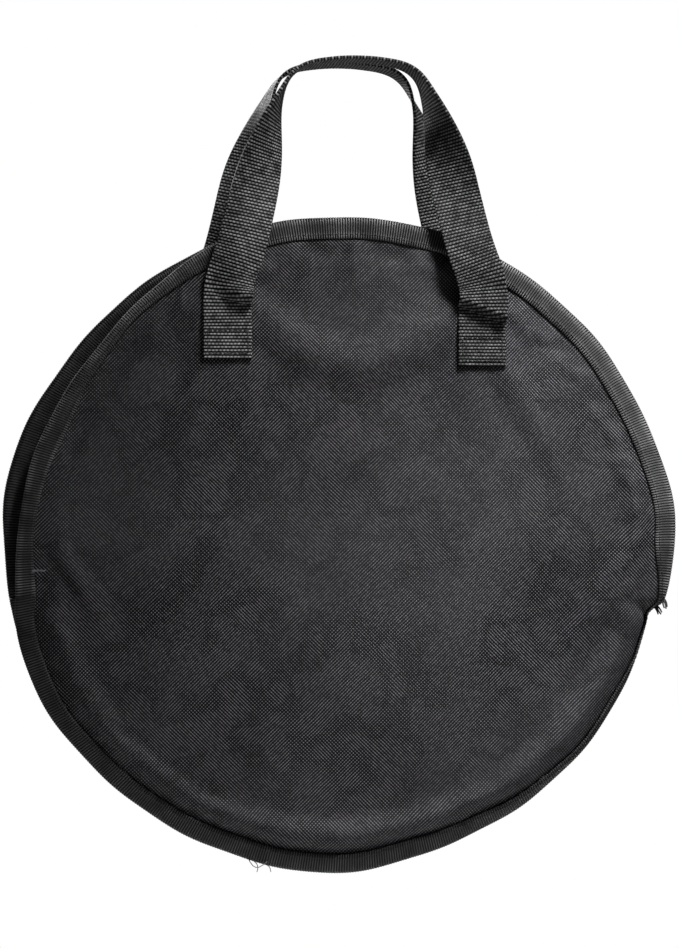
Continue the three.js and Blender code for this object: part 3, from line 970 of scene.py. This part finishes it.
def make_zip_tape(side):
    """The tape runs from its coil across the gap and into the fold of the binding."""
    angles = np.linspace(-ZIP_DROP, 180 + ZIP_DROP, 400)[:, None]
    held = edge_height(angles, side) - GAP - ZIP_TAPE / 2
    bed = FLAT_EDGE - ZIP_TAPE / 2
    share = np.array([0, 0.12, 0.3, 0.55, 0.8, 0.93, 1, 1, 1])
    radius = bed + np.array([0, 0, 0, 0.1, 0.4, 1.2, 3, 6, 9]) * MM
    follow = np.array([0, 0, 0.05, 0.35, 0.75, 0.95, 1, 1, 1])
    height = 0.8 * MM + (held - 0.8 * MM) * share
    middle = place(radius, angles, height, side, follow=follow)
    top, foot = thickened(middle, ZIP_TAPE, np.zeros(middle.shape[:2]))
    uv = grid(np.radians(angles) * bed, distances(middle[200]))
    piece = slab(f"{PLACES[side]}_zip_cloth", top, foot, uv, MATERIALS["zip_tape"])
    finish_piece(piece, PANEL_BODIES[side], "zip_tape", f"{PLACES[side]}_zip_tape")


def make_zip_coil(side):
    """Nylon teeth: each is one loop of wire with its head on the middle line of the zip."""
    reach = COIL_FOOT + COIL_HEIGHT / 2
    sweep = 180 + 2 * COIL_DROP
    count = round(math.radians(sweep) * reach / TOOTH_PITCH)
    turn = (np.arange(count) + 0.25 + 0.5 * (side == REAR)) / count * sweep - COIL_DROP
    rise = np.array([0.45, 0.5, 0.62, 1.0, 1.38, 1.5, 1.55]) * MM
    height = np.array([3.4, 2.2, 0.3, -0.35, 0.3, 2.2, 3.4]) * MM
    skew = np.array([0, 0, 0, 0.25, 0.5, 0.5, 0.5]) * math.degrees(TOOTH_PITCH / reach)
    paths = place(COIL_FOOT + rise, turn[:, None] + skew, height, side, follow=0.0)
    wire = TOOTH_WIRE * np.array([0.8, 1, 1, 1.25, 1, 1, 0.8])
    piece = tubes(f"{PLACES[side]}_zip_teeth", paths, wire, MATERIALS["coil"])
    finish_piece(piece, PANEL_BODIES[side], "zip_coil", f"{PLACES[side]}_zip_coil")


TACK_WRAPS = 9
TACK_LENGTH = 2.2 * MM
TACK_WRAP = [(-4, -0.5), (-3.6, 0.15), (0, 0.3), (3.6, 0.15), (4, -0.5)]  # depth and rise, in mm


def make_zip_tack(hand):
    """A bar of close thread wraps across the zip's end."""
    node = f"{hand}_zip_tack"
    low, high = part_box(node)
    middle = (low + high) / 2
    out = Vector((middle.x - CENTRE.x, 0, middle.z - CENTRE.z)).normalized()
    along = Vector((-out.z, 0, out.x))
    paths = []
    for i in range(TACK_WRAPS):
        centre = middle + along * ((i / (TACK_WRAPS - 1) - 0.5) * TACK_LENGTH)
        across = Vector((0, MM, 0)) + along * 0.12 * MM
        paths.append([centre + across * depth + out * rise * MM for depth, rise in TACK_WRAP])
    piece = tubes(f"{hand}_zip_bar_tack", paths, [0.2 * MM] * 5, MATERIALS["thread"])
    finish_piece(piece, "bag", "thread", node)


def softened(node, name, body, width):
    """A CAD node's own shape with its hard edges rounded off."""
    mesh = frame["nodes"][node].data.copy()
    mesh.materials.clear()
    mesh.materials.append(MATERIALS["metal"])
    piece = bpy.data.objects.new(name, mesh)
    bpy.context.scene.collection.objects.link(piece)
    weld = piece.modifiers.new("weld", "WELD")
    weld.merge_threshold = 0.01 * MM
    flat = piece.modifiers.new("flat", "DECIMATE")
    flat.decimate_type = "DISSOLVE"
    flat.angle_limit = math.radians(2)
    edges = piece.modifiers.new("edges", "BEVEL")
    edges.width = width
    edges.segments = 3
    edges.limit_method = "ANGLE"
    edges.angle_limit = math.radians(25)
    apply_modifiers(piece)
    finish_piece(piece, body, "zip_metal", node)


def apply_modifiers(piece):
    """Turns a piece's modifiers into plain mesh."""
    made = piece.evaluated_get(bpy.context.evaluated_depsgraph_get())
    mesh = bpy.data.meshes.new_from_object(made)
    piece.modifiers.clear()
    piece.data = mesh


def make_slider(hand):
    softened(f"{hand}_zip_slider", f"{hand}_slider_body", f"{hand}_slider", 0.28 * MM)
    softened(f"{hand}_zip_pull", f"{hand}_slider_pull", f"{hand}_pull", 0.22 * MM)


# ---------------------------------------------------------------- handles


HANDLE_SHIFT = {FRONT: 0.0, REAR: (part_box("rear_handle")[0].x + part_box("rear_handle")[1].x) / 2}
GRIP_DEPTH = 0.5 * MM + WEBBING_WIDTH / 2
GRIP_TOP = GRIP_HEIGHT + WEBBING / 2
LEG_DEPTH = abs(JOINTS["front_handle_swing"]["pos_m"][1]) - 1.3 * MM
TWIST_FOOT = 195 * MM
FOLD_RISE = 4.5 * MM  # length over which a leg comes free of its sewn end
STRAP_ROWS = 224  # rows of the weave, hem to hem
ROW_POINTS = 3


def hem_height(hand):
    return SEWN_FOOT + (LEFT_HEM_RISE if hand < 0 else 0)


def strap_line(side):
    """Middle line of a handle from its left hem over the grip to its right hem: x, depth, height."""
    leg = [
        (HANDLE_SPREAD, LEG_DEPTH, (SEWN_HEAD + SEWN_FOOT) / 2),
        (HANDLE_SPREAD, LEG_DEPTH, SEWN_HEAD),
        (HANDLE_SPREAD - 2 * MM, LEG_DEPTH, SEWN_HEAD + 12 * MM),
        (68 * MM, LEG_DEPTH + 0.6 * MM, 186 * MM),
        (56 * MM, LEG_DEPTH, 236 * MM),
        (46 * MM, LEG_DEPTH - 2 * MM, 270 * MM),
        (35 * MM, GRIP_DEPTH + 0.4 * MM, GRIP_TOP - 6.5 * MM),
        (14 * MM, GRIP_DEPTH, GRIP_TOP - 0.6 * MM),
    ]
    left = [(HANDLE_SPREAD, LEG_DEPTH, hem_height(-1)), *leg]
    right = [(HANDLE_SPREAD, LEG_DEPTH, hem_height(1)), *leg]
    points = [(-x, y, z) for x, y, z in left] + right[::-1]
    line = spline(points, ROW_POINTS * STRAP_ROWS + 1)
    return line * [1, side, 1]


def strap_frames(line, side):
    """The direction across the webbing at each point: it turns edge on towards the grip."""
    along = unit(np.gradient(line, axis=0))
    outward = unit(grid(-along[:, 2], 0, along[:, 0]))
    twist = (smooth(line[:, 2], TWIST_FOOT, GRIP_TOP - 3 * MM) * np.pi / 2)[:, None]
    face = np.array([0, side, 0]) * np.cos(twist) - outward * np.sin(twist)
    face -= along * np.einsum("ij,ij->i", face, along)[:, None]
    return np.cross(along, unit(face))


def lifted(x, height, hand):
    """How far a leg of the front handle stands off the panel where it comes free of its sewn end."""
    within = np.clip((x - hand * HANDLE_SPREAD) / WEBBING_WIDTH + 0.5, 0, 1)
    if hand < 0:
        start = SEWN_HEAD + 2 * MM - 8 * MM * within
        rise = 9 * MM * smooth(within, 0.15, 0.8)
    else:
        start = SEWN_HEAD - 5 * MM - 12 * MM * within
        rise = 6.5 * MM + 2.5 * MM * within
    fade = 1 - smooth(height, SEWN_HEAD + 12 * MM, SEWN_HEAD + 75 * MM)
    return rise * smooth(height, start, start + FOLD_RISE) * fade


def webbing_relief(rows, columns):
    """Height of the weave: plump yarns in rows, each row half a yarn along from the last."""
    row = rows / ROW
    moved = columns * DOTS / WEBBING_WIDTH + 0.5 * (np.floor(row) % 2)
    crowns = np.abs(np.sin(np.pi * row)) * (0.35 + 0.65 * np.abs(np.sin(np.pi * moved)))
    inside = smooth(WEBBING_WIDTH / 2 - np.abs(columns), 0, 1.5 * MM)
    return 0.26 * MM * crowns * inside


def make_strap(side):
    """One length of webbing: sewn down at both ends, free and twisted in between."""
    line = strap_line(side)
    across = strap_frames(line, side)
    columns = np.linspace(-0.5, 0.5, 3 * DOTS + 1) * WEBBING_WIDTH
    middle = line[:, None, :] + across[:, None, :] * columns[None, :, None]
    middle += [HANDLE_SHIFT[side], 0, CENTRE.z]
    x = middle[..., 0] - HANDLE_SHIFT[side]
    height = middle[..., 2] - CENTRE.z
    resting = panel_face(middle[..., 0], middle[..., 2], side) + SEWN_GAP + WEBBING / 2
    sewn = 1 - smooth(height, SEWN_HEAD, SEWN_HEAD + 16 * MM)
    depth = middle[..., 1] * side
    depth = depth + (resting - depth) * sewn
    if side == FRONT:
        depth = depth + np.where(x < 0, lifted(x, height, -1), lifted(x, height, 1))
    middle[..., 1] = side * depth
    length = distances(line)[:, None]
    length = length * (ROW * STRAP_ROWS) / length[-1]
    relief = webbing_relief(length, columns)
    top, foot = thickened(middle, WEBBING, relief)
    uv = grid(columns + WEBBING_WIDTH / 2, length)
    where = PLACES[side]
    piece = slab(f"{where}_strap", top, foot, uv, MATERIALS["webbing"])
    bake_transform(piece)
    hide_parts(f"{where}_handle", f"{where}_left_sewn_end", f"{where}_right_sewn_end")


def make_box_stitch(side, hand):
    """The box of stitches that holds one end of a handle."""
    where = PLACES[side]
    hand_name = "left" if hand < 0 else "right"
    centre = HANDLE_SHIFT[side] + hand * HANDLE_SPREAD
    half = WEBBING_WIDTH / 2 - 2.4 * MM
    foot = hem_height(hand) + 3 * MM
    head = foot + 14 * MM
    corners = [(-half, foot), (half, foot), (half, head), (-half, head), (-half, foot)]
    rows = []
    for (x0, z0), (x1, z1) in zip(corners, corners[1:]):
        count = round(math.hypot(x1 - x0, z1 - z0) / (2.9 * MM))
        for i in range(count):
            share = (i + np.linspace(0.06, 0.94, 5)) / count
            x = centre + x0 + (x1 - x0) * share
            z = CENTRE.z + z0 + (z1 - z0) * share
            lift = SEWN_GAP + WEBBING + (0.05 + 0.3 * np.sin(np.linspace(0, np.pi, 5))) * MM
            rows.append(grid(x, side * (panel_face(x, z, side) + lift), z))
    piece = tubes(f"{where}_{hand_name}_stitches", rows, 0.36 * MM * np.array([0.4, 1, 1, 1, 0.4]),
                  MATERIALS["thread"])
    body = "flap" if side == FRONT else "bag"
    finish_piece(piece, body, "thread", f"{where}_{hand_name}_box_stitch")


# ---------------------------------------------------------------- stage


def aimed(thing, place_at, target):
    thing.location = place_at
    thing.rotation_euler = (Vector(target) - Vector(place_at)).to_track_quat("-Z", "Y").to_euler()


def soft_light(name, energy, size, place_at, target, spread=180):
    data = bpy.data.lights.new(name, "AREA")
    data.energy = energy
    data.size = size
    data.spread = math.radians(spread)
    light = bpy.data.objects.new(name, data)
    bpy.context.scene.collection.objects.link(light)
    aimed(light, place_at, target)


def make_stage():
    floor_level = CENTRE.z - RADIUS - 420 * MM
    size = 0.7
    steps = np.linspace(-size, size, 13)
    x, y = np.meshgrid(steps, steps, indexing="ij")
    top = grid(x, y, floor_level)
    floor = slab("studio_floor", top, top - [0, 0, 20 * MM], top[..., :2], floor_material())


def make_world():
    """White all round, and dimmer as a light than as a background."""
    world = bpy.data.worlds.new("studio")
    world.use_nodes = True
    bpy.context.scene.world = world
    tree = world.node_tree
    ambient = tree.nodes["Background"]
    ambient.inputs["Color"].default_value = (1, 1, 1, 1)
    ambient.inputs["Strength"].default_value = 0.04
    seen = tree.nodes.new("ShaderNodeBackground")
    seen.inputs["Color"].default_value = (1, 1, 1, 1)
    seen.inputs["Strength"].default_value = 1.0
    mix = tree.nodes.new("ShaderNodeMixShader")
    path = tree.nodes.new("ShaderNodeLightPath")
    tree.links.new(path.outputs["Is Camera Ray"], mix.inputs[0])
    tree.links.new(ambient.outputs[0], mix.inputs[1])
    tree.links.new(seen.outputs[0], mix.inputs[2])
    tree.links.new(mix.outputs[0], tree.nodes["World Output"].inputs["Surface"])
    bpy.context.scene.view_settings.view_transform = "Standard"


def make_lights():
    target = CENTRE
    upper_right = CENTRE + Vector((0.16, 0, 0.05))
    soft_light("key", 1.05, 0.4, (0.42, -0.68, 0.75), upper_right, spread=31)
    soft_light("front_fill", 1.9, 1.4, (1.0, -2.2, 0.3), target)
    soft_light("rear", 34, 1.6, (-1.0, 2.4, 0.8), target)


def make_camera():
    """A little to the left of square on, level, far enough off to flatten the view."""
    distance = 2.3
    seen_height = 0.579
    turn = math.radians(-6)
    data = bpy.data.cameras.new("camera")
    data.lens = data.sensor_width * distance / seen_height
    camera = bpy.data.objects.new("camera", data)
    bpy.context.scene.collection.objects.link(camera)
    target = CENTRE + Vector((-1.5 * MM, 0, 43.4 * MM))
    back = Vector((math.sin(turn), -math.cos(turn), 0))
    aimed(camera, target + back * distance, target)
    bpy.context.scene.camera = camera


make_stage()
make_world()
make_lights()
make_camera()
for panel_side in (FRONT, REAR):
    make_panel(panel_side)
    make_upper_binding(panel_side)
    make_zip_tape(panel_side)
    make_zip_coil(panel_side)
    make_strap(panel_side)
    for strap_hand in (-1, 1):
        make_box_stitch(panel_side, strap_hand)
make_lower_binding()
make_loose_threads("frayed_ends", FRAYED_ENDS, 0.62 * MM, MATERIALS["thread"])
make_loose_threads("loose_threads", STRAYS, 0.33 * MM, MATERIALS["loose"])
for zip_end in ("left", "right"):
    make_slider(zip_end)
for zip_end in ("left", "right"):
    make_zip_tack(zip_end)
